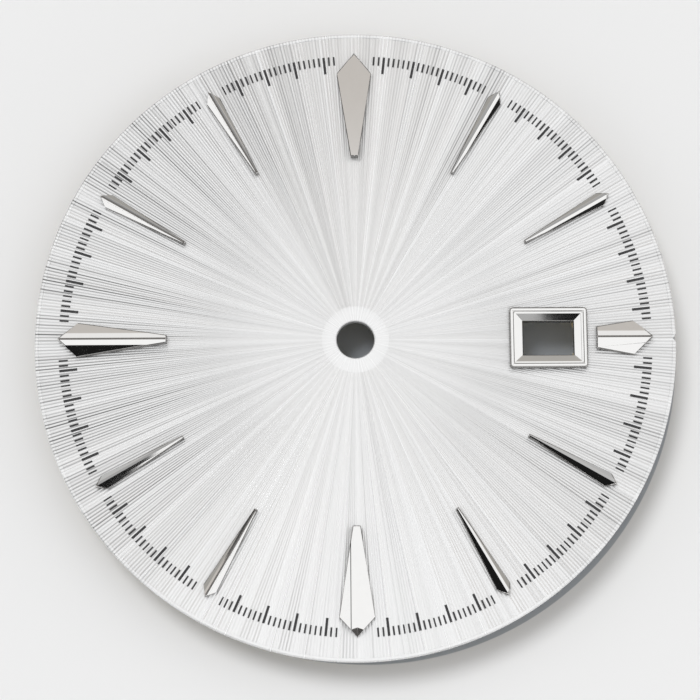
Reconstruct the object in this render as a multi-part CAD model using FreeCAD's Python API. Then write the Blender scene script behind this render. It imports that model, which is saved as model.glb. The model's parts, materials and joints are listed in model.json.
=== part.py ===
"""Wristwatch dial with sixty radial flutes, twelve applied hour markers and a framed date window.

Millimetres. The origin is on the axis of the centre hole, in the plane of the plate's back.
+Z points out of the face, +Y to 12 o'clock and +X to 3 o'clock.
"""
import FreeCAD
import Part

import math
import os

Vector = FreeCAD.Vector
UP = Vector(0, 0, 1)
CENTRE = Vector(0, 0, 0)

# Plate
dial_radius = 14.25
plate_thickness = 0.40
rim_chamfer = 0.05
centre_bore_radius = 0.84
bore_chamfer = 0.04
notch_depth = 0.16
notch_width = 0.26

# Flutes of the face, one for each minute
minutes_in_hour = 60
collar_radius = 1.50
rim_land_width = 0.17
flute_depth = 0.030
crest_angle = 0.16

# Printed minute track
ink_thickness = 0.015
track_rim_distance = 1.06
long_stroke_length = 0.79
long_stroke_width = 0.11
short_stroke_length = 0.40
short_stroke_width = 0.07
strokes_per_minute = 6
print_gap_beside_wide = 0.05
print_gap_beside_narrow = 0.22

# Small feet under the applied pieces, eight-sided to keep what repeats light
post_sides = 8

# Sizes that all hour markers share
index_rim_distance = 1.06
index_wall_height = 0.12
index_ridge_land = 0.05
tip_bevel_angle = 50.0
index_foot_radius = 0.13
foot_hole_clearance = 0.02

# Wide markers at 12, 6 and 9 o'clock
wide_length = 4.82
wide_tip_length = 0.88
wide_width = 1.56
wide_inner_width = 0.34
wide_strip_width = 0.54
wide_strip_angle = 12.0
wide_wing_angle = 25.0

# Wide marker at 3 o'clock, cut short beside the date frame
short_inner_width = 0.98
short_gap_beside_frame = 0.40

# Narrow markers at the other hours
narrow_length = 4.42
narrow_tip_length = 0.46
narrow_width = 0.67
narrow_inner_width = 0.14
narrow_strip_width = 0.28
narrow_strip_angle = 22.0
narrow_wing_angle = 33.0

# Places of the markers' feet, measured from the shoulders and from the inner end
outer_foot_inset = 0.35
inner_foot_inset = 1.45
short_inner_foot_inset = 0.35

# Date window and its frame
date_rim_distance = 5.69
date_opening_width = 2.26
date_opening_height = 1.53
frame_band = 0.60
frame_corner_radius = 0.16
frame_height = 0.32
frame_lip_width = 0.19
frame_step_depth = 0.04
frame_bevel_width = 0.33
frame_bevel_drop = 0.18
frame_edge_chamfer = 0.04
sleeve_wall = 0.09
sleeve_depth = 0.25
sleeve_clearance = 0.02
frame_foot_radius = 0.13

# Feet that hold the dial in the watch
dial_foot_radius = 0.35
dial_foot_length = 2.00
dial_foot_chamfer = 0.10
foot_flange_radius = 1.00
foot_flange_thickness = 0.15
foot_rim_distance = 2.85
foot_a_angle = 342.0
foot_b_angle = 159.0
solder_width = 0.22
solder_height = 0.12

# Drops of cement round the ends of the markers' and frame's feet
cement_radius = 0.42
cement_top_radius = 0.20
cement_height = 0.11

cut_margin = 1.0
height_tolerance = 1e-6
hours_in_turn = 12
minutes_per_hour_mark = minutes_in_hour // hours_in_turn
minute_angle = 360.0 / minutes_in_hour
face_height = plate_thickness
flute_outer_radius = dial_radius - rim_land_width
track_outer_radius = dial_radius - track_rim_distance
index_tip_radius = dial_radius - index_rim_distance
wide_shoulder_radius = index_tip_radius - wide_tip_length
wide_inner_radius = index_tip_radius - wide_length
narrow_shoulder_radius = index_tip_radius - narrow_tip_length
narrow_inner_radius = index_tip_radius - narrow_length
date_centre_radius = dial_radius - date_rim_distance
foot_circle_radius = dial_radius - foot_rim_distance
short_inner_radius = date_centre_radius + date_opening_width / 2 + frame_band + short_gap_beside_frame


def turned_to(shape, minute):
    """Copy of a shape made at 12 o'clock, turned clockwise to a minute of the track."""
    copy = shape.copy()
    copy.rotate(CENTRE, UP, -minute * minute_angle)
    return copy


def disc(radius, low, high):
    """Upright cylinder on the dial's axis between two heights."""
    return Part.makeCylinder(radius, high - low, Vector(0, 0, low))


def slab(width, length, low, high, centre_x=0.0, centre_y=0.0):
    """Box centred on a point of the plan, between two heights."""
    corner = Vector(centre_x - width / 2, centre_y - length / 2, low)
    return Part.makeBox(width, length, high - low, corner)


def rounded_slab(width, length, radius, low, high, centre_x, centre_y=0.0):
    """Box with its upright edges rounded."""
    box = slab(width, length, low, high, centre_x, centre_y)
    upright = [edge for edge in box.Edges if abs(edge.tangentAt(edge.FirstParameter).z) > 0.99]
    return box.makeFillet(radius, upright)


def turned_profile(points):
    """Solid of revolution about the Z axis from (radius, height) points."""
    corners = [Vector(radius, 0, height) for radius, height in points]
    outline = Part.makePolygon(corners + corners[:1])
    return Part.Face(outline).revolve(CENTRE, UP, 360)


def pillar(outline, low, high):
    """Upright prism over a closed outline of (x, y) points."""
    corners = [Vector(x, y, low) for x, y in outline]
    face = Part.Face(Part.makePolygon(corners + corners[:1]))
    return face.extrude(Vector(0, 0, high - low))


def post_outline(radius, x, y, height):
    """Closed level outline of a small post."""
    corners = []
    for side in range(post_sides):
        angle = 2 * math.pi * side / post_sides
        corners.append(Vector(x + radius * math.cos(angle), y + radius * math.sin(angle), height))
    return Part.makePolygon(corners + corners[:1])


def post(radius, low, high, x, y):
    """Small upright post between two heights."""
    return Part.Face(post_outline(radius, x, y, low)).extrude(Vector(0, 0, high - low))


def foot(radius, x, y):
    """Foot from the underside of an applied piece to the plate's back."""
    return post(radius, 0, face_height, x, y)


def foot_hole(radius, x, y):
    """Cutter of the plate's hole for a foot."""
    return post(radius + foot_hole_clearance, -cut_margin, face_height + cut_margin, x, y)


def cement_drop(x, y):
    """Low drop of cement on the back that covers the end of a foot and its hole."""
    outlines = [post_outline(cement_radius, x, y, 0), post_outline(cement_top_radius, x, y, -cement_height)]
    return Part.makeLoft(outlines, True, True)


def plain_plate():
    """Blank with its centre bore, chamfered rim and chamfered bore edge."""
    return turned_profile([
        (centre_bore_radius, 0),
        (dial_radius, 0),
        (dial_radius, face_height - rim_chamfer),
        (dial_radius - rim_chamfer, face_height),
        (centre_bore_radius + bore_chamfer, face_height),
        (centre_bore_radius, face_height - bore_chamfer),
    ])


def flute_angles():
    """Rise of a flute cone's axis above the face, and the cone's half angle, in radians."""
    half_flute = math.radians((minute_angle - crest_angle) / 2)
    bottom = math.atan2(flute_depth, flute_outer_radius)
    axis_rise = math.atan2(math.cos(bottom) - math.cos(half_flute), math.sin(bottom))
    return axis_rise, axis_rise + bottom


def flute_cutter():
    """Slice of the cone that cuts one flute at 12 o'clock, between the collar and the rim land.

    The cone's point lies on the axis at face height, so that the flute grows wider and deeper outwards.
    """
    axis_rise, half_cone = flute_angles()
    length = dial_radius / math.cos(half_cone)
    axis = Vector(0, math.cos(axis_rise), math.sin(axis_rise))
    cone = Part.makeCone(0, length * math.tan(half_cone), length, Vector(0, 0, face_height), axis)
    low = face_height - 2 * flute_depth
    high = face_height + flute_depth
    ring = disc(flute_outer_radius, low, high).cut(disc(collar_radius, low, high))
    return cone.common(ring)


def flute_depth_at(radius, minute):
    """Depth of the fluted face below the crests at a radius and a minute of the track."""
    axis_rise, half_cone = flute_angles()
    off_middle = math.radians((minute % 1 - 0.5) * minute_angle)
    above_crest = math.cos(off_middle) * math.cos(axis_rise) - math.cos(half_cone)
    return max(radius * above_crest / math.sin(axis_rise), 0.0)


def fluted_plate():
    """Blank with all flutes cut; each flute lies between two minute marks.

    Neighbouring flutes are cut in turns, so that no two cutters of one cut meet.
    """
    cutter = flute_cutter()
    plate = plain_plate()
    for first in (0, 1):
        plate = plate.cut([turned_to(cutter, minute + 0.5) for minute in range(first, minutes_in_hour, 2)])
    return plate


def rim_notch():
    """Small V in the rim at 3 o'clock."""
    half = notch_width / 2
    reach = notch_depth + cut_margin
    outline = [
        (dial_radius - notch_depth, 0),
        (dial_radius - notch_depth + reach, -half * reach / notch_depth),
        (dial_radius - notch_depth + reach, half * reach / notch_depth),
    ]
    return pillar(outline, -cut_margin, face_height + cut_margin)


def kite_outline(inner_radius, inner_width, shoulder_radius, width):
    """Plan of a marker at 12 o'clock: square inner end, shoulders and pointed outer tip."""
    return [
        (-inner_width / 2, inner_radius),
        (inner_width / 2, inner_radius),
        (width / 2, shoulder_radius),
        (0, index_tip_radius),
        (-width / 2, shoulder_radius),
    ]


def roof_heights(half_width, strip_half, strip_angle, wing_angle):
    """Cross-section of a marker as (distance from the axis, height) points, ridge first."""
    wing_drop = (half_width - strip_half) * math.tan(math.radians(wing_angle))
    strip_drop = (strip_half - index_ridge_land / 2) * math.tan(math.radians(strip_angle))
    ridge = index_wall_height + wing_drop + strip_drop
    return [
        (index_ridge_land / 2, ridge),
        (strip_half, ridge - strip_drop),
        (half_width, index_wall_height),
    ]


def roof_prism(section, inner_radius):
    """Long prism under the facets of a marker, along the marker's axis."""
    right = [(x, face_height + z) for x, z in section]
    left = [(-x, z) for x, z in reversed(right)]
    half_width = section[-1][0]
    points = [(-half_width, face_height), (half_width, face_height)] + right[::-1] + left[::-1]
    corners = [Vector(x, inner_radius, z) for x, z in points]
    face = Part.Face(Part.makePolygon(corners + corners[:1]))
    return face.extrude(Vector(0, index_tip_radius - inner_radius, 0))


def tip_bevel_cutter(side, shoulder_radius, width):
    """Block above the sloping facet of one outer edge, from the shoulder to the tip."""
    run = width / 2
    rise = index_tip_radius - shoulder_radius
    edge = math.hypot(run, rise)
    reach = cut_margin + index_tip_radius
    block = Part.makeBox(2 * reach, reach, reach, Vector(-reach, 0, 0))
    block.rotate(CENTRE, Vector(1, 0, 0), tip_bevel_angle)
    block.rotate(CENTRE, UP, 180.0 - side * math.degrees(math.asin(rise / edge)))
    block.translate(Vector(0, index_tip_radius, face_height + index_wall_height))
    return block


def marker_body(outline, section, shoulder_radius, width):
    """Faceted marker without its feet."""
    inner_radius = outline[0][1]
    tall = face_height + section[0][1] + cut_margin
    body = pillar(outline, face_height, tall).common(roof_prism(section, inner_radius))
    for side in (-1, 1):
        body = body.cut(tip_bevel_cutter(side, shoulder_radius, width))
    return body


def wide_section():
    return roof_heights(wide_width / 2, wide_strip_width / 2, wide_strip_angle, wide_wing_angle)


def narrow_section():
    return roof_heights(narrow_width / 2, narrow_strip_width / 2, narrow_strip_angle, narrow_wing_angle)


def marker_kinds():
    """Outline, section, shoulder and foot places of each kind of marker."""
    wide = kite_outline(wide_inner_radius, wide_inner_width, wide_shoulder_radius, wide_width)
    short = kite_outline(short_inner_radius, short_inner_width, wide_shoulder_radius, wide_width)
    narrow = kite_outline(narrow_inner_radius, narrow_inner_width, narrow_shoulder_radius, narrow_width)
    return {
        "wide": {
            "outline": wide,
            "section": wide_section(),
            "shoulder": wide_shoulder_radius,
            "width": wide_width,
            "print_gap": print_gap_beside_wide,
            "feet": [wide_inner_radius + inner_foot_inset, wide_shoulder_radius - outer_foot_inset],
        },
        "short": {
            "outline": short,
            "section": wide_section(),
            "shoulder": wide_shoulder_radius,
            "width": wide_width,
            "print_gap": print_gap_beside_wide,
            "feet": [short_inner_radius + short_inner_foot_inset, wide_shoulder_radius - outer_foot_inset],
        },
        "narrow": {
            "outline": narrow,
            "section": narrow_section(),
            "shoulder": narrow_shoulder_radius,
            "width": narrow_width,
            "print_gap": print_gap_beside_narrow,
            "feet": [narrow_inner_radius + inner_foot_inset, narrow_shoulder_radius - outer_foot_inset],
        },
    }


def kind_at(hour):
    """Kind of marker at an hour from 1 to 12."""
    if hour == 3:
        return "short"
    if hour % 3 == 0:
        return "wide"
    return "narrow"


def hour_minute(hour):
    """Minute of the track that an hour marker stands on."""
    return hour % hours_in_turn * minutes_per_hour_mark


def hour_marker(kind):
    """Marker at 12 o'clock with its two feet."""
    body = marker_body(kind["outline"], kind["section"], kind["shoulder"], kind["width"])
    feet = [foot(index_foot_radius, 0, radius) for radius in kind["feet"]]
    return body.fuse(feet).removeSplitter()


def marker_foot_holes(kinds):
    """Through holes of the plate for every marker's feet."""
    holes = []
    for hour in range(1, hours_in_turn + 1):
        for radius in kinds[kind_at(hour)]["feet"]:
            holes.append(turned_to(foot_hole(index_foot_radius, 0, radius), hour_minute(hour)))
    return holes


def frame_foot_places():
    """Plan positions of the date frame's four feet, under the middle of its side bands."""
    across = (date_opening_width + frame_band + sleeve_wall) / 2
    along = date_opening_height / 2
    return [
        (date_centre_radius + side * across, end * along)
        for side in (-1, 1)
        for end in (-1, 1)
    ]


def date_cutout():
    """Hole of the plate that the frame's sleeve drops into."""
    gap = 2 * (sleeve_wall + sleeve_clearance)
    width = date_opening_width + gap
    height = date_opening_height + gap
    return slab(width, height, -cut_margin, face_height + cut_margin, date_centre_radius)


def frame_foot_holes():
    return [foot_hole(frame_foot_radius, x, y) for x, y in frame_foot_places()]


def bevel_pocket():
    """Four-sided tapered pocket whose corners make the mitres of the frame."""
    top = face_height + frame_height - frame_step_depth
    bottom = top - frame_bevel_drop
    rings = []
    for height, grown in ((bottom, 0.0), (top, 2 * frame_bevel_width)):
        half_width = (date_opening_width + grown) / 2
        half_height = (date_opening_height + grown) / 2
        signs = ((-1, -1), (1, -1), (1, 1), (-1, 1))
        corners = [Vector(date_centre_radius + a * half_width, b * half_height, height) for a, b in signs]
        rings.append(Part.makePolygon(corners + corners[:1]))
    return Part.makeLoft(rings, True, True)


def date_frame():
    """Frame with a narrow lip, a small step, a mitred bevel, a sleeve and four feet."""
    outer_width = date_opening_width + 2 * frame_band
    outer_height = date_opening_height + 2 * frame_band
    top = face_height + frame_height
    corner = frame_corner_radius
    body = rounded_slab(outer_width, outer_height, corner, face_height, top, date_centre_radius)
    upper_edges = [edge for edge in body.Edges if edge.BoundBox.ZMin > top - height_tolerance]
    body = body.makeChamfer(frame_edge_chamfer, upper_edges)

    sleeve_width = date_opening_width + 2 * sleeve_wall
    sleeve_height = date_opening_height + 2 * sleeve_wall
    sleeve = slab(sleeve_width, sleeve_height, face_height - sleeve_depth, face_height, date_centre_radius)
    body = body.fuse(sleeve)

    recess_width = outer_width - 2 * frame_lip_width
    recess_height = outer_height - 2 * frame_lip_width
    step = top - frame_step_depth
    recess = slab(recess_width, recess_height, step, top + cut_margin, date_centre_radius)
    opening = slab(date_opening_width, date_opening_height, -cut_margin, top, date_centre_radius)
    body = body.cut([recess, bevel_pocket(), opening])

    feet = [foot(frame_foot_radius, x, y) for x, y in frame_foot_places()]
    return body.fuse(feet).removeSplitter()


def dial_plate(kinds):
    """Fluted plate with the date cut-out, the rim notch and the holes for all feet."""
    cuts = [date_cutout(), rim_notch()] + frame_foot_holes() + marker_foot_holes(kinds)
    return fluted_plate().cut(cuts)


def stroke(minute, width, length):
    """Flat stroke of ink on the face, no deeper than the highest point of the face under it."""
    inner = track_outer_radius - length
    half_minute = math.degrees(math.asin(width / 2 / inner)) / minute_angle
    depth = min(flute_depth_at(inner, minute - half_minute), flute_depth_at(inner, minute + half_minute))
    low = face_height - depth
    block = slab(width, length, low, low + ink_thickness, 0, track_outer_radius - length / 2)
    return turned_to(block, minute)


def bare_minutes(kind):
    """Minutes each side of a marker that the print leaves bare."""
    half_width, shoulder = kind["outline"][2]
    return math.degrees(math.atan2(half_width + kind["print_gap"], shoulder)) / minute_angle


def minute_track(kinds):
    """All printed strokes, left out where a marker covers the track."""
    strokes = []
    for step in range(minutes_in_hour * strokes_per_minute):
        minute = step / strokes_per_minute
        nearest = round(minute / minutes_per_hour_mark)
        hour = nearest % hours_in_turn or hours_in_turn
        if abs(minute - nearest * minutes_per_hour_mark) < bare_minutes(kinds[kind_at(hour)]):
            continue
        if step % strokes_per_minute:
            strokes.append(stroke(minute, short_stroke_width, short_stroke_length))
        else:
            strokes.append(stroke(minute, long_stroke_width, long_stroke_length))
    return Part.makeCompound(strokes)


def dial_foot(angle):
    """Turned foot: flange against the back and chamfered pin, at an angle clockwise from 12 o'clock."""
    tip = -foot_flange_thickness - dial_foot_length
    foot = turned_profile([
        (0, 0),
        (foot_flange_radius, 0),
        (foot_flange_radius, -foot_flange_thickness),
        (dial_foot_radius, -foot_flange_thickness),
        (dial_foot_radius, tip + dial_foot_chamfer),
        (dial_foot_radius - dial_foot_chamfer, tip),
        (0, tip),
    ])
    foot.translate(Vector(0, foot_circle_radius, 0))
    return turned_to(foot, angle / minute_angle)


def solder_fillet(angle):
    """Ring of solder in the corner between a foot's flange and the back."""
    ring = turned_profile([
        (foot_flange_radius, 0),
        (foot_flange_radius + solder_width, 0),
        (foot_flange_radius, -solder_height),
    ])
    ring.translate(Vector(0, foot_circle_radius, 0))
    return turned_to(ring, angle / minute_angle)


def index_cement(kinds):
    drops = []
    for hour in range(1, hours_in_turn + 1):
        for radius in kinds[kind_at(hour)]["feet"]:
            drops.append(turned_to(cement_drop(0, radius), hour_minute(hour)))
    return Part.makeCompound(drops)


def frame_cement():
    return Part.makeCompound([cement_drop(x, y) for x, y in frame_foot_places()])


def build_nodes():
    """Every node's name and shape."""
    kinds = marker_kinds()
    nodes = {
        "dial_plate": dial_plate(kinds),
        "date_window_frame": date_frame(),
        "minute_track": minute_track(kinds),
        "dial_foot_a": dial_foot(foot_a_angle),
        "dial_foot_b": dial_foot(foot_b_angle),
        "foot_solder": Part.makeCompound([solder_fillet(foot_a_angle), solder_fillet(foot_b_angle)]),
        "index_foot_cement": index_cement(kinds),
        "frame_foot_cement": frame_cement(),
    }
    markers = {name: hour_marker(kind) for name, kind in kinds.items()}
    for hour in range(1, hours_in_turn + 1):
        nodes["hour_index_%02d" % hour] = turned_to(markers[kind_at(hour)], hour_minute(hour))
    return nodes


def main():
    os.makedirs("parts", exist_ok=True)
    for name, shape in build_nodes().items():
        shape.exportStep(os.path.join("parts", name + ".step"))
        facts = (name, len(shape.Solids), shape.isValid(), shape.Volume)
        print("%-20s solids %3d valid %s volume %.4f" % facts)


main()
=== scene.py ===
"""Wristwatch dial with radial flutes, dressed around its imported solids.

Laid out as an add-on: one operator for each piece or group of like pieces, and one for the stage.
Lengths are in metres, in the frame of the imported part. The face looks along +Z and 12 o'clock is at +Y.
"""

import json
import math
import random

import bmesh
import bpy
from bpy.props import FloatProperty, FloatVectorProperty, IntProperty, PointerProperty
from bpy.types import Operator, Panel, PropertyGroup
from mathutils import Euler, Matrix, Vector


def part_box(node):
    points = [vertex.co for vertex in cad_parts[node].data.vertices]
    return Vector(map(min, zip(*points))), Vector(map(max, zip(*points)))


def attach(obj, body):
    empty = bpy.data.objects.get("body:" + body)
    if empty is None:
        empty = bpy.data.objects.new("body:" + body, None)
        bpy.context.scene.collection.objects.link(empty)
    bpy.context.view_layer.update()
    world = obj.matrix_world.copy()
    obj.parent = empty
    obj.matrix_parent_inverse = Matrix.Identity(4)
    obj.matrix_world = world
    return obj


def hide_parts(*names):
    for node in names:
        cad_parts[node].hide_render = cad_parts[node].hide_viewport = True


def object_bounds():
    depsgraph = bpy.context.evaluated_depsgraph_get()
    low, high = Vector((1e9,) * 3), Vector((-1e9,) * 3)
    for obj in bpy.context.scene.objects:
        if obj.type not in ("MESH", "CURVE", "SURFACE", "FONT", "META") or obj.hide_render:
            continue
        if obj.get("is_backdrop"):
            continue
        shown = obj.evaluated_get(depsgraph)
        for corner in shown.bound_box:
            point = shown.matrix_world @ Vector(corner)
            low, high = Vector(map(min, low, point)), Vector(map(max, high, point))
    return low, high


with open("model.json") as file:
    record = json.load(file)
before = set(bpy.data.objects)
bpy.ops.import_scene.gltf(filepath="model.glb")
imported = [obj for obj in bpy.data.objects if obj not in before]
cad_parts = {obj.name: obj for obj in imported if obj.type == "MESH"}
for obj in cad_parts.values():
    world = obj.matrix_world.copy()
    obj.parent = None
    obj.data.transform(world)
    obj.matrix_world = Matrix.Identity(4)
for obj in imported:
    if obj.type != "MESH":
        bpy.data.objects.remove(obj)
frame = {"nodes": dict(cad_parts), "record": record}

bl_info = {
    "name": "Watch dial",
    "version": (1, 0, 0),
    "blender": (4, 5, 0),
    "location": "3D View > Sidebar > Watch Dial",
    "description": "Builds a fluted watch dial with applied markers around its packed solids",
    "category": "Add Mesh",
}

MM = 0.001
UP = Vector((0.0, 0.0, 1.0))
CENTRE = Vector((0.0, 0.0, 0.0))
BODY = "root"
HOURS = range(1, 13)
MINUTES_IN_HOUR = 60
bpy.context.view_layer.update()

# Tolerances: corners closer than this are one, and heights closer than this are level.
SAME_PLACE = 0.0002 * MM
SMALL_STEP = 0.01 * MM

# The plate: steps at the ends of its flutes, the V in its rim and the painted shadow round it, the
# frame's border, and how far the plate's opening reaches under that border.
FLUTE_GAP = 0.02 * MM
FLUTE_WALL = 0.01 * MM
NOTCH_DEPTH = 0.16 * MM
NOTCH_PAINTED_SHADOW = (0.12 * MM, 0.21 * MM)
FRAME_BORDER = 0.60 * MM
CUTOUT_LAP = 0.11 * MM

# The markers: the height of their upright walls, how steep a facet is that is painted dark as shade,
# half the width of the land on a ridge, how near the shoulder an upper facet ends, and the slope of a
# narrow marker's strips.
WALL_HEIGHT = 0.12 * MM
STEEP = 0.70
RIDGE_HALF = 0.045 * MM
SHOULDER_REACH = 0.4 * MM
NARROW_SLOPE = math.tan(math.radians(22.0))
WIDE_MARKERS = (3, 6, 9, 12)
# Markers whose ridges keep their land and take the dark plating, as a painted dark reflection.
DARK_PAINTED_RIDGES = (3, 7, 9, 10, 11)
BLUNT_MARKER = 6

# The cement: the rounding of a drop's edge, and each piece with the node that it replaces.
DROP_EDGE = 0.08 * MM
CEMENT_NODES = (("marker_cement", "index_foot_cement"), ("frame_cement", "frame_foot_cement"))


def plate_box():
    """Lowest and highest corners of the plate."""
    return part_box("dial_plate")


def plate_radius():
    """Largest radius that stays inside the plate's box."""
    low, high = plate_box()
    return min(-low.x, high.x, -low.y, high.y)


def mount_radius(name):
    """Radius in metres of a round mount of the record."""
    for mount in frame["record"]["mounts"]:
        if mount["name"] == name:
            return mount["dims"]["r_mm"] * MM
    raise LookupError("the record has no mount named " + name)


# Sizes and colours that a user would change

class FaceSettings(PropertyGroup):
    """The fluted face of the plate."""

    radius: FloatProperty(
        name="Radius", description="Radius of the plate", default=plate_radius(), unit="LENGTH",
        precision=5)
    bore_radius: FloatProperty(
        name="Bore radius", description="Radius of the centre hole",
        default=mount_radius("centre_bore"), unit="LENGTH", precision=5)
    collar_radius: FloatProperty(
        name="Collar radius", description="Radius of the plain ring round the hole",
        default=1.50 * MM, unit="LENGTH", precision=5)
    land_width: FloatProperty(
        name="Rim land", description="Width of the plain ring at the rim", default=0.17 * MM,
        unit="LENGTH", precision=5)
    edge: FloatProperty(
        name="Edge", description="Chamfer of the rim", default=0.05 * MM, unit="LENGTH",
        precision=5)
    flute_depth: FloatProperty(
        name="Flute depth", description="Depth of a flute at the rim", default=0.030 * MM,
        unit="LENGTH", precision=5)
    groove_depth: FloatProperty(
        name="Groove depth", description="Depth of a fine groove at the rim", default=0.016 * MM,
        unit="LENGTH", precision=5)
    grooves: IntProperty(
        name="Grooves per flute", description="Fine grooves cut along each flute", default=10)
    silver: FloatVectorProperty(
        name="Silver", description="Colour of the silvered face", subtype="COLOR", size=3,
        default=(0.93, 0.935, 0.94))
    roughness: FloatProperty(
        name="Roughness", description="Roughness of the silvered face", default=0.26,
        subtype="FACTOR")
    sheen_share: FloatProperty(
        name="Metal share", description="How far the silvering looks like bare metal",
        default=0.55, subtype="FACTOR")


class AppliedSettings(PropertyGroup):
    """The polished markers and date frame."""

    outer_edge: FloatProperty(
        name="Outer edge", description="Width of the rounded outer edges", default=0.030 * MM,
        unit="LENGTH", precision=5)
    inner_edge: FloatProperty(
        name="Facet edge", description="Width of the rounded lines between facets",
        default=0.018 * MM, unit="LENGTH", precision=5)
    metal: FloatVectorProperty(
        name="Metal", description="Colour of the polished plating", subtype="COLOR", size=3,
        default=(0.95, 0.945, 0.935))
    # Dark plating for edges, walls and some ridges: painted shade on the markers and the frame.
    edge_shade: FloatVectorProperty(
        name="Edge shade", description="Colour of the plating on edges and inner walls",
        subtype="COLOR", size=3, default=(0.22, 0.21, 0.20))
    roughness: FloatProperty(
        name="Roughness", description="Roughness of the polished plating", default=0.04,
        subtype="FACTOR")


class PrintSettings(PropertyGroup):
    """The printed minute track."""

    ink: FloatVectorProperty(
        name="Ink", description="Colour of the print", subtype="COLOR", size=3,
        default=(0.018, 0.018, 0.020))
    roughness: FloatProperty(
        name="Roughness", description="Roughness of the ink", default=0.45, subtype="FACTOR")


class BackSettings(PropertyGroup):
    """The feet, the solder and the cement on the back."""

    copper: FloatVectorProperty(
        name="Copper", description="Colour of the feet", subtype="COLOR", size=3,
        default=(0.80, 0.42, 0.26))
    solder: FloatVectorProperty(
        name="Solder", description="Colour of the solder", subtype="COLOR", size=3,
        default=(0.58, 0.58, 0.60))
    cement: FloatVectorProperty(
        name="Cement", description="Colour of the cement", subtype="COLOR", size=3,
        default=(0.74, 0.62, 0.38))
    brass: FloatVectorProperty(
        name="Back", description="Colour of the bare back", subtype="COLOR", size=3,
        default=(0.80, 0.64, 0.36))


class StageSettings(PropertyGroup):
    """Floor, light and camera."""

    floor: FloatVectorProperty(
        name="Floor", description="Colour of the floor", subtype="COLOR", size=3,
        default=(0.84, 0.845, 0.85))
    # Painted shadow on the floor: a dark round patch under the dial, set a little to the right and
    # towards 6 o'clock.
    mat: FloatVectorProperty(
        name="Shadow", description="Colour of the mat under the dial", subtype="COLOR", size=3,
        default=(0.42, 0.455, 0.50))
    painted_shadow_radius: FloatProperty(
        name="Mat radius", description="Radius of the mat under the dial", default=14.03 * MM,
        unit="LENGTH", precision=5)
    painted_shadow_place: FloatVectorProperty(
        name="Mat place", description="Middle of the mat", subtype="TRANSLATION", size=2,
        default=(0.50 * MM, -0.12 * MM))
    lamp_power: FloatProperty(
        name="Lamp", description="Strength of the lamp that casts the shadow", default=1.2)
    camera_place: FloatVectorProperty(
        name="Camera", description="Place of the camera", subtype="TRANSLATION", size=3,
        default=(-0.707 * MM, -21.480 * MM, 101.381 * MM))
    camera_turn: FloatVectorProperty(
        name="Camera turn", description="Rotation of the camera", subtype="EULER", size=3,
        default=tuple(math.radians(a) for a in (11.749, -0.194, -0.322)))
    lens: FloatProperty(name="Lens", description="Focal length in millimetres", default=119.56)


# Shader maths

class Wire:
    """An output of a node. Arithmetic on it adds Math nodes."""

    def __init__(self, board, socket):
        self.board = board
        self.socket = socket

    def __add__(self, other):
        return self.board.maths("ADD", self, other)

    def __sub__(self, other):
        return self.board.maths("SUBTRACT", self, other)

    def __rsub__(self, other):
        return self.board.maths("SUBTRACT", other, self)

    def __mul__(self, other):
        return self.board.maths("MULTIPLY", self, other)

    def __pow__(self, other):
        return self.board.maths("POWER", self, other)

    __radd__ = __add__
    __rmul__ = __mul__


class Board:
    """The node tree of a material or world, and the ways that this script adds to it."""

    def __init__(self, owner):
        owner.use_nodes = True
        self.tree = owner.node_tree
        self.tree.nodes.clear()

    def add(self, kind, settings=None, inputs=None, output=0):
        """Adds a node: its settings first, then the values or wires of its sockets."""
        node = self.tree.nodes.new(kind)
        for name, value in (settings or {}).items():
            setattr(node, name, value)
        for name, value in (inputs or {}).items():
            if isinstance(value, Wire):
                self.tree.links.new(value.socket, node.inputs[name])
            else:
                node.inputs[name].default_value = value
        return Wire(self, node.outputs[output]) if len(node.outputs) else None

    def maths(self, operation, first, second=0.0):
        return self.add("ShaderNodeMath", {"operation": operation}, {0: first, 1: second})

    def vector(self, operation, first, second):
        return self.add("ShaderNodeVectorMath", {"operation": operation}, {0: first, 1: second})

    def length(self, vector):
        """Length of a vector, as a number."""
        return self.add("ShaderNodeVectorMath", {"operation": "LENGTH"}, {0: vector}, 1)

    def from_axis(self, place):
        """Distance of a place from the dial's axis."""
        return self.length(self.vector("MULTIPLY", place, (1.0, 1.0, 0.0)))

    def parts(self, vector):
        """The three numbers of a vector."""
        node = self.add("ShaderNodeSeparateXYZ", {}, {"Vector": vector}).socket.node
        return [Wire(self, socket) for socket in node.outputs]

    def mix(self, factor, first, second):
        """Blend of two colours."""
        return self.add("ShaderNodeMix", {"data_type": "RGBA"}, {0: factor, 6: first, 7: second}, 2)

    def smooth_step(self, value, low, high):
        """0 below low, 1 above high, with a soft passage between."""
        return self.add("ShaderNodeMapRange", {"interpolation_type": "SMOOTHSTEP"},
                        {0: value, 1: low, 2: high, 3: 0.0, 4: 1.0})

    def band(self, value, low, high, edge):
        """1 between two values, 0 outside them, with soft edges."""
        above = self.smooth_step(value, low - edge, low + edge)
        return above * self.smooth_step(value, high + edge, high - edge)

    def zigzag(self, value):
        """1 at whole values and 0 halfway between them, with straight lines from one to the other."""
        return self.maths("ABSOLUTE", self.maths("FRACT", value) * 2.0 - 1.0)

    def noise(self, vector, scale, detail=2.0):
        return self.add("ShaderNodeTexNoise", {}, {"Vector": vector, "Scale": scale, "Detail": detail})

    def place(self):
        """Object coordinates."""
        return self.add("ShaderNodeTexCoord", output="Object")

    def bump(self, height, distance):
        return self.add("ShaderNodeBump", {}, {"Height": height, "Distance": distance, "Strength": 1.0})

    def surface(self, shader):
        self.add("ShaderNodeOutputMaterial", {}, {"Surface": shader})

    def principled(self, **sockets):
        """Principled shader and material output. An underscore stands for a space in a socket's name."""
        inputs = {name.replace("_", " "): value for name, value in sockets.items()}
        self.surface(self.add("ShaderNodeBsdfPrincipled", {}, inputs))


def new_material(name):
    material = bpy.data.materials.new(name)
    return material, Board(material)


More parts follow.
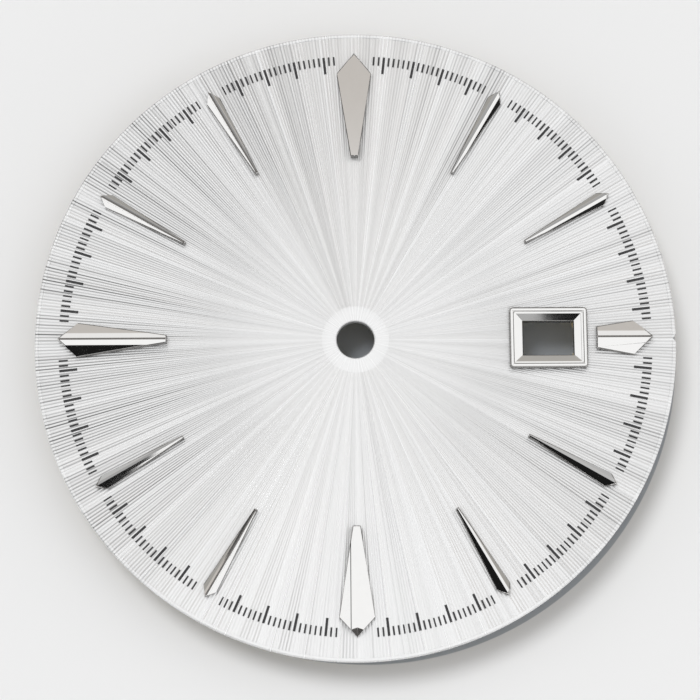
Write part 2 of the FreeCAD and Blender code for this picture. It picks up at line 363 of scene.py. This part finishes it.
def opaque(colour):
    return (colour[0], colour[1], colour[2], 1.0)


def radial_direction(board, place):
    """Unit vector of a point's bearing from the dial's axis."""
    flat = board.vector("MULTIPLY", place, (1.0, 1.0, 0.0))
    return board.add("ShaderNodeVectorMath", {"operation": "NORMALIZE"}, {0: flat})


def silvered_face(settings):
    """Silvered metal with painted shade: greyer flutes between bright crests, and painted dark lines
    along the fine grooves that grow towards the rim.

    The painted lines show most at the sides of the dial and hardly at all near 6 o'clock. A painted
    shadow darkens the plate round the V in the rim.
    """
    material, board = new_material("silvered_face")
    place = board.place()
    bearing = radial_direction(board, place)
    east, north, _ = board.parts(bearing)
    radius = board.from_axis(place)
    # Painted shade, weighted to the sides of the dial and towards the rim, stands in for the studio's
    # reflections in the grooved metal.
    sideways = board.smooth_step(board.maths("ABSOLUTE", east) + north * 0.35, 0.10, 0.75)
    outwards = board.smooth_step(radius, 0.30 * settings.radius, 0.72 * settings.radius)
    turns = board.maths("ARCTAN2", north, east) * (1 / (2 * math.pi)) + 1.0
    flute = board.zigzag(turns * MINUTES_IN_HOUR)
    groove = board.zigzag(turns * (settings.grooves * MINUTES_IN_HOUR))
    rays = board.smooth_step(board.noise(bearing, 14.0, 2.0), 0.36, 0.66)
    uneven = board.smooth_step(board.noise(bearing, 70.0, 2.0), 0.34, 0.62)
    lines = board.smooth_step(groove, 0.32, 0.92) * (uneven * 0.75 + 0.25) * (rays * 0.55 + 0.45)
    # Painted shade: darker in the middle of each flute, and a painted cloud of shade at mid radius on
    # both sides.
    valley_shade = 1.0 - flute ** 1.5
    cloud_shade = board.smooth_step(board.maths("ABSOLUTE", east), 0.35, 0.95) * (
        board.band(radius, 0.34 * settings.radius, 0.52 * settings.radius, 0.16 * settings.radius))
    inwards = 1.0 - outwards
    west = board.smooth_step(east * -1.0, 0.30, 0.90)
    # All the painted shade together: dark lines along the grooves, heavier on the west side, painted
    # rays, darker flute valleys and the clouds.
    painted_shade = lines * outwards * (sideways * 0.60 + 0.04) * (west * 0.75 + 1.0)
    painted_shade = painted_shade + rays * (sideways * 0.05 + 0.01)
    painted_shade = painted_shade + valley_shade * (sideways * 0.04 + 0.03 + inwards * 0.06)
    painted_shade = painted_shade + cloud_shade * 0.09
    collar = settings.collar_radius
    fluted = board.smooth_step(radius, 0.80 * collar, 1.10 * collar) * 0.6 + 0.4
    # Painted shadow round the V in the rim, where the floor under the dial lies in shade.
    from_notch = board.length(board.vector("SUBTRACT", place, (settings.radius, 0.0, 0.0)))
    notch = board.smooth_step(from_notch, NOTCH_PAINTED_SHADOW[1], NOTCH_PAINTED_SHADOW[0])
    dark = board.maths("MAXIMUM", notch * 0.85, painted_shade * fluted)
    tone = opaque(settings.silver)
    shade = opaque([0.20 * part for part in settings.silver])
    roughness = board.noise(bearing, 95.0, 3.0) * 0.10 + (settings.roughness - 0.05)
    board.principled(Base_Color=board.mix(dark, tone, shade), Metallic=settings.sheen_share,
                     Roughness=roughness)
    return material


def bare_back(settings):
    """Bare brass with fine turning marks round the centre."""
    material, board = new_material("bare_back")
    place = board.place()
    distance = board.from_axis(place)
    rings = board.noise(board.add("ShaderNodeCombineXYZ", {}, {"X": distance}), 5.0 / MM, 4.0)
    stains = board.noise(place, 0.22 / MM, 3.0)
    tone = opaque(settings.brass)
    darker = opaque([0.80 * part for part in settings.brass])
    colour = board.mix(rings * 0.6 + stains * 0.4, darker, tone)
    roughness = rings * 0.25 + 0.22
    normal = board.bump(rings, 0.004 * MM)
    board.principled(Base_Color=colour, Metallic=1.0, Roughness=roughness, Normal=normal)
    return material


def polished_plating(settings):
    """Mirror-polished plating with the faintest haze."""
    material, board = new_material("polished_plating")
    haze = board.noise(board.place(), 2.5 / MM, 3.0)
    roughness = haze * 0.04 + (settings.roughness - 0.02)
    tone = opaque(settings.metal)
    darker = opaque([0.96 * part for part in settings.metal])
    board.principled(Base_Color=board.mix(haze, darker, tone), Metallic=1.0, Roughness=roughness)
    return material


def dark_painted_edge(settings):
    """Dark plating on the rounded edges and upright walls, painted there as shade."""
    material, board = new_material("dark_painted_edge")
    patches = board.noise(board.place(), 6.0 / MM, 3.0)
    tone = opaque(settings.edge_shade)
    darker = opaque([0.7 * part for part in settings.edge_shade])
    board.principled(Base_Color=board.mix(patches, darker, tone), Metallic=1.0,
                     Roughness=patches * 0.15 + 0.2)
    return material


def printed_ink(settings):
    """Black ink with an uneven film."""
    material, board = new_material("printed_ink")
    film = board.noise(board.place(), 14.0 / MM, 2.0)
    tone = opaque(settings.ink)
    paler = opaque([part + 0.05 for part in settings.ink])
    board.principled(Base_Color=board.mix(film * 0.6, tone, paler),
                     Roughness=film * 0.2 + settings.roughness)
    return material


def worn_metal(name, tone, roughness, scale):
    """Plain metal whose tone and roughness vary a little."""
    material, board = new_material(name)
    patches = board.noise(board.place(), scale, 4.0)
    darker = opaque([0.72 * part for part in tone])
    board.principled(Base_Color=board.mix(patches, darker, opaque(tone)), Metallic=1.0,
                     Roughness=patches * 0.2 + roughness)
    return material


def clear_cement(settings):
    """Set cement, glossy and a little uneven."""
    material, board = new_material("clear_cement")
    depth = board.noise(board.place(), 3.0 / MM, 2.0)
    tone = opaque(settings.cement)
    darker = opaque([0.75 * part for part in settings.cement])
    board.principled(Base_Color=board.mix(depth, darker, tone), Roughness=depth * 0.1 + 0.12,
                     Coat_Weight=0.6)
    return material


# Meshes

def turned_mesh(profile, steps):
    """Closed ring turned from a profile of (radius, height) points about the dial's axis."""
    mesh = bmesh.new()
    corners = [mesh.verts.new((radius, 0.0, height)) for radius, height in profile]
    edges = [mesh.edges.new(pair) for pair in zip(corners, corners[1:] + corners[:1])]
    bmesh.ops.spin(mesh, geom=corners + edges, cent=CENTRE, axis=UP, angle=2 * math.pi, steps=steps,
                   use_merge=True)
    bmesh.ops.remove_doubles(mesh, verts=mesh.verts, dist=SAME_PLACE)
    bmesh.ops.recalc_face_normals(mesh, faces=mesh.faces)
    return mesh


def piece_from(mesh, name, *materials):
    """Object of a finished mesh, at the origin."""
    data = bpy.data.meshes.new(name)
    mesh.to_mesh(data)
    mesh.free()
    for material in materials:
        data.materials.append(material)
    piece = bpy.data.objects.new(name, data)
    bpy.context.scene.collection.objects.link(piece)
    return piece


def finish_piece(piece, slot, *nodes):
    """The piece takes the place of CAD nodes and rides with them."""
    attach(piece, BODY)
    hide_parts(*nodes)


def merged_copy(node):
    """Copy of a CAD node's mesh as one closed shell with flat faces joined."""
    mesh = bmesh.new()
    mesh.from_mesh(frame["nodes"][node].data)
    bmesh.ops.remove_doubles(mesh, verts=mesh.verts, dist=SAME_PLACE)
    bmesh.ops.dissolve_limit(mesh, angle_limit=math.radians(0.5), verts=mesh.verts, edges=mesh.edges)
    return mesh


def flute_drop(settings, radius, angle):
    """Depth of the face below its crests, for a point's radius and its angle from the +X axis."""
    share = 2 * math.pi / MINUTES_IN_HOUR
    off_middle = (angle % share) / share * 2 - 1
    return settings.flute_depth * radius / settings.radius * (1 - off_middle ** 2)


def fluted_plate(settings):
    """Plate whose face has a flute for each minute and fine grooves along each flute."""
    face = plate_box()[1].z
    flute_start = settings.collar_radius + FLUTE_GAP
    flute_end = settings.radius - settings.land_width
    wall = FLUTE_WALL
    edge = settings.edge
    bore = settings.bore_radius
    mesh = turned_mesh([
        (bore, 0.0), (settings.radius - 0.4 * edge, 0.0), (settings.radius, 0.4 * edge),
        (settings.radius, face - edge), (settings.radius - 0.3 * edge, face - 0.3 * edge),
        (settings.radius - edge, face), (flute_end + wall, face), (flute_end, face),
        (0.5 * flute_end, face), (0.2 * flute_end, face), (flute_start, face),
        (settings.collar_radius, face), (bore + 0.8 * edge, face), (bore, face - 0.8 * edge),
    ], 2 * settings.grooves * MINUTES_IN_HOUR)
    chance = random.Random(5)
    groove_count = settings.grooves * MINUTES_IN_HOUR
    depths = [settings.groove_depth * chance.uniform(0.6, 1.3) for _ in range(groove_count)]
    groove_share = 2 * math.pi / groove_count
    for corner in mesh.verts:
        radius = corner.co.xy.length
        fluted = flute_start - wall / 2 < radius < flute_end + wall / 2
        if not fluted or abs(corner.co.z - face) > wall / 2:
            continue
        angle = math.atan2(corner.co.y, corner.co.x) % (2 * math.pi)
        corner.co.z -= flute_drop(settings, radius, angle)
        groove = angle / groove_share
        if abs(groove - round(groove)) > 0.25:
            corner.co.z -= depths[int(groove)] * radius / settings.radius
    return mesh


def along_and_across(place, bearing):
    """A point's distance outwards along a marker's axis and its distance to the side of it."""
    return place.xy.dot(bearing), place.xy.dot(Vector((bearing.y, -bearing.x)))


def carry_facets_to_tip(mesh, bearing, ridge_too):
    """Slides the outer ends of the upper facets outwards, so that they run out to the pointed tip.

    Where the ridge stays back, two small facets are left between it and the tip.
    """
    face = plate_box()[1].z
    outline = [along_and_across(corner.co, bearing) for corner in mesh.verts]
    tip = max(along for along, _ in outline)
    shoulder, half_width = max(outline, key=lambda point: point[1])
    top = max(corner.co.z for corner in mesh.verts)
    for corner in mesh.verts:
        along, across = along_and_across(corner.co, bearing)
        if not ridge_too and corner.co.z > top - SAME_PLACE:
            continue
        if corner.co.z > face + WALL_HEIGHT + SMALL_STEP and along > shoulder - SHOULDER_REACH:
            reach = tip - (tip - shoulder) * abs(across) / half_width - SMALL_STEP
            corner.co.xy += bearing * (reach - along)


def close_ridge(mesh, bearing, slope):
    """Closes the narrow land along the ridge to a line, with the facets' slope kept."""
    top = max(corner.co.z for corner in mesh.verts)
    for corner in mesh.verts:
        if corner.co.z > top - SAME_PLACE:
            along, across = along_and_across(corner.co, bearing)
            corner.co.xy = bearing * along
            corner.co.z += abs(across) * slope
    bmesh.ops.remove_doubles(mesh, verts=mesh.verts, dist=SAME_PLACE)


def paint_ridge_dark(mesh, bearing):
    """Gives the ridge and its rounded edges the dark plating, as a painted dark reflection along the
    ridge.
    """
    top = max(corner.co.z for corner in mesh.verts)
    for land in mesh.faces:
        middle = land.calc_center_median()
        across = along_and_across(middle, bearing)[1]
        if abs(across) < RIDGE_HALF and middle.z > top - SMALL_STEP and land.normal.z > 0.9:
            land.material_index = 1


def soften(mesh, outer_edge, inner_edge, sharp_ridge=False):
    """Rounds the outer edges above the face, and more finely the lines between the facets.

    The rounded outer edges, the upright walls and the steepest facets take the second material, whose
    dark plating is painted shade.
    """
    face = plate_box()[1].z
    top = max(corner.co.z for corner in mesh.verts)
    limit = top - SAME_PLACE if sharp_ridge else top + MM
    for wall in mesh.faces:
        if abs(wall.normal.z) < STEEP:
            wall.material_index = 1
    for width, least, most, outer in ((outer_edge, 40.0, 180.0, True), (inner_edge, 10.0, 40.0, False)):
        least, most = math.radians(least), math.radians(most)
        sharp = [
            edge for edge in mesh.edges
            if edge.is_manifold and least < edge.calc_face_angle(0.0) <= most
            and face + width < min(corner.co.z for corner in edge.verts) < limit
        ]
        rounded = bmesh.ops.bevel(mesh, geom=sharp, offset=width, offset_type="OFFSET", affect="EDGES",
                                  segments=3, profile=0.5, material=-1, clamp_overlap=outer)
        for strip in rounded["faces"]:
            strip.material_index = int(outer)
    bmesh.ops.remove_doubles(mesh, verts=mesh.verts, dist=0.1 * SAME_PLACE)


def round_drops(mesh):
    """Domes drops of cement whose bases lie on the plate's back."""
    upper = [edge for edge in mesh.edges if min(corner.co.z for corner in edge.verts) < -SMALL_STEP]
    bmesh.ops.bevel(mesh, geom=upper, offset=DROP_EDGE, offset_type="OFFSET", affect="EDGES", segments=3,
                    profile=0.5, material=-1, clamp_overlap=True)
    for face in mesh.faces:
        face.smooth = abs(face.normal.z) < 0.999 or face.normal.z < 0


def block(mesh, low, high):
    """Box between two corners."""
    size = high - low
    middle = (high + low) / 2
    place = Matrix.Translation(middle) @ Matrix.Diagonal((size.x, size.y, size.z, 1.0))
    bmesh.ops.create_cube(mesh, size=1.0, matrix=place)


def cut_away(piece, cutter):
    """Takes a cutter's room out of a piece, with the cutter removed afterwards."""
    cutting = piece.modifiers.new("Cut", "BOOLEAN")
    cutting.operation = "DIFFERENCE"
    cutting.solver = "EXACT"
    cutting.object = cutter
    shapes = bpy.context.evaluated_depsgraph_get()
    cut_mesh = bpy.data.meshes.new_from_object(piece.evaluated_get(shapes))
    piece.modifiers.clear()
    old_mesh = piece.data
    piece.data = cut_mesh
    cut_mesh.name = piece.name
    bpy.data.meshes.remove(old_mesh)
    bpy.data.objects.remove(cutter)


def window_cutter(settings):
    """Room of the date window and of the small V in the rim."""
    low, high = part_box("date_window_frame")
    wide = (high.x - low.x) / 2 - FRAME_BORDER + CUTOUT_LAP
    tall = (high.y - low.y) / 2 - FRAME_BORDER + CUTOUT_LAP
    middle = (low.x + high.x) / 2
    mesh = bmesh.new()
    block(mesh, Vector((middle - wide, -tall, -MM)), Vector((middle + wide, tall, MM)))
    turn = Matrix.Translation((settings.radius, 0.0, 0.0)) @ Matrix.Rotation(math.radians(45), 4, "Z")
    size = NOTCH_DEPTH * math.sqrt(2)
    bmesh.ops.create_cube(mesh, size=1.0, matrix=turn @ Matrix.Diagonal((size, size, 2 * MM, 1.0)))
    return piece_from(mesh, "window_cutter")


# Operators, one for each piece or group of like pieces

class WATCHDIAL_OT_face(Operator):
    """Cut the fluted, silvered plate"""

    bl_idname = "watchdial.face"
    bl_label = "Fluted face"

    def execute(self, context):
        settings = context.scene.watchdial_face
        mesh = fluted_plate(settings)
        for face in mesh.faces:
            if face.normal.z < -0.9:
                face.material_index = 1
        plate = piece_from(mesh, "silvered_plate", silvered_face(settings),
                           bare_back(context.scene.watchdial_back))
        cut_away(plate, window_cutter(settings))
        finish_piece(plate, "silvered_brass", "dial_plate")
        return {"FINISHED"}


class WATCHDIAL_OT_markers(Operator):
    """Polish the twelve applied markers"""

    bl_idname = "watchdial.markers"
    bl_label = "Hour markers"

    def execute(self, context):
        settings = context.scene.watchdial_applied
        # The second metal is dark plating, painted shade on the edges and walls.
        metals = polished_plating(settings), dark_painted_edge(settings)
        for hour in HOURS:
            node = "hour_index_%02d" % hour
            mesh = merged_copy(node)
            turn = 2 * math.pi * hour / len(HOURS)
            bearing = Vector((math.sin(turn), math.cos(turn)))
            carry_facets_to_tip(mesh, bearing, hour != BLUNT_MARKER)
            # Some ridges keep their land and take the dark plating, a painted dark reflection.
            dark_ridge = hour in DARK_PAINTED_RIDGES
            if not dark_ridge:
                close_ridge(mesh, bearing, 0.0 if hour in WIDE_MARKERS else NARROW_SLOPE)
            soften(mesh, settings.outer_edge, settings.inner_edge, not dark_ridge)
            if dark_ridge:
                paint_ridge_dark(mesh, bearing)
            finish_piece(piece_from(mesh, "marker_%02d" % hour, *metals), "polished_metal", node)
        return {"FINISHED"}


class WATCHDIAL_OT_window(Operator):
    """Polish the frame of the date window"""

    bl_idname = "watchdial.window"
    bl_label = "Date window frame"

    def execute(self, context):
        settings = context.scene.watchdial_applied
        mesh = merged_copy("date_window_frame")
        # Its rounded edges and walls take the dark plating as painted shade.
        soften(mesh, settings.outer_edge, settings.inner_edge)
        piece = piece_from(mesh, "window_frame", polished_plating(settings), dark_painted_edge(settings))
        finish_piece(piece, "polished_metal", "date_window_frame")
        return {"FINISHED"}


class WATCHDIAL_OT_track(Operator):
    """Ink the printed minute track"""

    bl_idname = "watchdial.track"
    bl_label = "Minute track"

    def execute(self, context):
        dress("minute_track", printed_ink(context.scene.watchdial_print))
        return {"FINISHED"}


class WATCHDIAL_OT_back(Operator):
    """Finish the feet, solder and cement of the back"""

    bl_idname = "watchdial.back"
    bl_label = "Feet and cement"

    def execute(self, context):
        settings = context.scene.watchdial_back
        copper = worn_metal("copper", settings.copper, 0.22, 1.2 / MM)
        dress("dial_foot_a", copper)
        dress("dial_foot_b", copper)
        dress("foot_solder", worn_metal("solder", settings.solder, 0.25, 3.0 / MM))
        cement = clear_cement(settings)
        for name, node in CEMENT_NODES:
            drops = merged_copy(node)
            round_drops(drops)
            finish_piece(piece_from(drops, name, cement), "clear_cement", node)
        return {"FINISHED"}


def dress(node, material):
    """Gives a CAD node that stays a better material."""
    materials = frame["nodes"][node].data.materials
    materials.clear()
    materials.append(material)


# Stage

# Dark and grey cards round the studio, which the polished facets mirror: bearings from 3 o'clock,
# anticlockwise, and tilts from straight up, each from one edge to the other in degrees, and the tone.
STUDIO_CARDS = (
    (341.0, 356.0, 57.0, 68.0, 0.015),
    (309.0, 325.0, 46.0, 68.0, 0.020),
    (290.0, 301.0, 30.0, 42.0, 0.010),
    (277.0, 300.4, 42.0, 66.0, 0.010),
    (262.0, 277.0, 42.0, 55.0, 0.450),
    (250.0, 264.5, 28.0, 41.0, 0.010),
    (227.6, 250.0, 28.0, 70.0, 0.010),
    (198.0, 212.0, 28.0, 70.0, 0.010),
    (160.0, 178.0, 26.5, 48.5, 0.020),
    (134.0, 144.2, 45.0, 80.0, 0.060),
    (100.0, 133.5, 47.0, 58.0, 0.380),
    (46.0, 78.0, 47.0, 59.0, 0.320),
    (57.0, 62.5, 50.0, 58.0, 0.520),
    (33.0, 38.0, 48.0, 54.0, 0.930),
    (54.0, 64.0, 66.0, 80.0, 0.480),
    (113.0, 125.0, 66.0, 80.0, 0.510),
)
CARD_EDGE = 0.15

# The studio's walls as the dial mirrors them: on the near side and overhead, on the far side beyond
# 12 o'clock, low down on that side, and at the horizon.
NEAR_WALL = opaque((0.97, 0.97, 0.97))
FAR_WALL = opaque((0.57, 0.54, 0.51))
FAR_LOW = opaque((0.36, 0.35, 0.33))
HORIZON = opaque((0.03, 0.03, 0.03))

LAMP_DIRECTION = Vector((-0.28, 0.30, 1.0))
LAMP_SPREAD = math.radians(20)


class WATCHDIAL_OT_stage(Operator):
    """Set the floor, the light and the camera"""

    bl_idname = "watchdial.stage"
    bl_label = "Stage"

    def execute(self, context):
        settings = context.scene.watchdial_stage
        lay_floor(settings)
        light_studio(context.scene)
        hang_lamp(settings)
        set_camera(context.scene, settings)
        context.scene.view_settings.view_transform = "Standard"
        return {"FINISHED"}


def lay_floor(settings):
    """Plain pale floor under the feet, with a round painted shadow under the dial, which the dial hides.
    """
    mesh = bmesh.new()
    bmesh.ops.create_grid(mesh, x_segments=1, y_segments=1, size=1.0,
                          matrix=Matrix.Translation((0.0, 0.0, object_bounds()[0].z)))
    material, board = new_material("pale_floor")
    from_middle = board.vector("SUBTRACT", board.place(), (*settings.painted_shadow_place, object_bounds()[0].z))
    distance = board.length(from_middle)
    # Painted shadow: the floor is dark inside the round patch under the dial and pale outside it.
    bare = board.smooth_step(distance, settings.painted_shadow_radius, settings.painted_shadow_radius + 0.06 * MM)
    board.principled(Base_Color=board.mix(bare, opaque(settings.mat), opaque(settings.floor)),
                     Roughness=0.6)
    piece_from(mesh, "floor", material)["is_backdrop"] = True


def light_studio(scene):
    """World: a bright studio, grey on the far side and dark at the horizon, with cards round it."""
    world = bpy.data.worlds.new("studio")
    scene.world = world
    board = Board(world)
    direction = board.add("ShaderNodeTexCoord", output="Generated")
    east, north, up = board.parts(direction)
    bearing = board.maths("FLOORED_MODULO", board.maths("ARCTAN2", north, east) * math.degrees(1), 360.0)
    tilt = board.maths("ARCCOSINE", up) * math.degrees(1)
    lamp_side = board.band(bearing, 58.0, 122.0, 10.0) * board.smooth_step(tilt, 60.0, 24.0)
    far = board.mix(lamp_side, FAR_WALL, NEAR_WALL)
    far = board.mix(board.smooth_step(tilt, 60.0, 74.0), far, FAR_LOW)
    colour = board.mix(board.smooth_step(north, 0.20, 0.32), NEAR_WALL, far)
    for first, last, top, bottom, tone in STUDIO_CARDS:
        card = board.band(bearing, first, last, CARD_EDGE) * board.band(tilt, top, bottom, CARD_EDGE)
        colour = board.mix(card, colour, opaque((tone, tone, tone)))
    colour = board.mix(board.smooth_step(tilt, 80.0, 86.0), colour, HORIZON)
    background = board.add("ShaderNodeBackground", {}, {"Color": colour, "Strength": 1.0})
    board.add("ShaderNodeOutputWorld", {}, {"Surface": background})


def hang_lamp(settings):
    """Large soft sun high on the left of 12 o'clock, for the shadow."""
    data = bpy.data.lights.new("key", "SUN")
    data.energy = settings.lamp_power
    data.angle = LAMP_SPREAD
    lamp = bpy.data.objects.new("key", data)
    lamp.rotation_euler = LAMP_DIRECTION.to_track_quat("Z", "Y").to_euler()
    lamp.visible_glossy = False
    bpy.context.scene.collection.objects.link(lamp)


def set_camera(scene, settings):
    """Camera at the photograph's viewing angle."""
    data = bpy.data.cameras.new("camera")
    data.lens = settings.lens
    data.sensor_width = 36.0
    data.clip_start = 1.0 * MM
    data.clip_end = 100.0
    camera = bpy.data.objects.new("camera", data)
    camera.location = settings.camera_place
    camera.rotation_euler = Euler(settings.camera_turn)
    scene.collection.objects.link(camera)
    scene.camera = camera


class WATCHDIAL_PT_panel(Panel):
    """The dial's operators"""

    bl_label = "Watch dial"
    bl_idname = "WATCHDIAL_PT_panel"
    bl_space_type = "VIEW_3D"
    bl_region_type = "UI"
    bl_category = "Watch Dial"

    def draw(self, context):
        for operator in OPERATORS:
            self.layout.operator(operator.bl_idname)


SETTINGS = {
    "watchdial_face": FaceSettings,
    "watchdial_applied": AppliedSettings,
    "watchdial_print": PrintSettings,
    "watchdial_back": BackSettings,
    "watchdial_stage": StageSettings,
}
OPERATORS = (
    WATCHDIAL_OT_face,
    WATCHDIAL_OT_markers,
    WATCHDIAL_OT_window,
    WATCHDIAL_OT_track,
    WATCHDIAL_OT_back,
    WATCHDIAL_OT_stage,
)


def register():
    for name, group in SETTINGS.items():
        bpy.utils.register_class(group)
        setattr(bpy.types.Scene, name, PointerProperty(type=group))
    for kind in OPERATORS + (WATCHDIAL_PT_panel,):
        bpy.utils.register_class(kind)


def unregister():
    for kind in reversed(OPERATORS + (WATCHDIAL_PT_panel,)):
        bpy.utils.unregister_class(kind)
    for name, group in SETTINGS.items():
        delattr(bpy.types.Scene, name)
        bpy.utils.unregister_class(group)


def main():
    register()
    bpy.ops.watchdial.face()
    bpy.ops.watchdial.markers()
    bpy.ops.watchdial.window()
    bpy.ops.watchdial.track()
    bpy.ops.watchdial.back()
    bpy.ops.watchdial.stage()


if __name__ == "__main__":
    main()
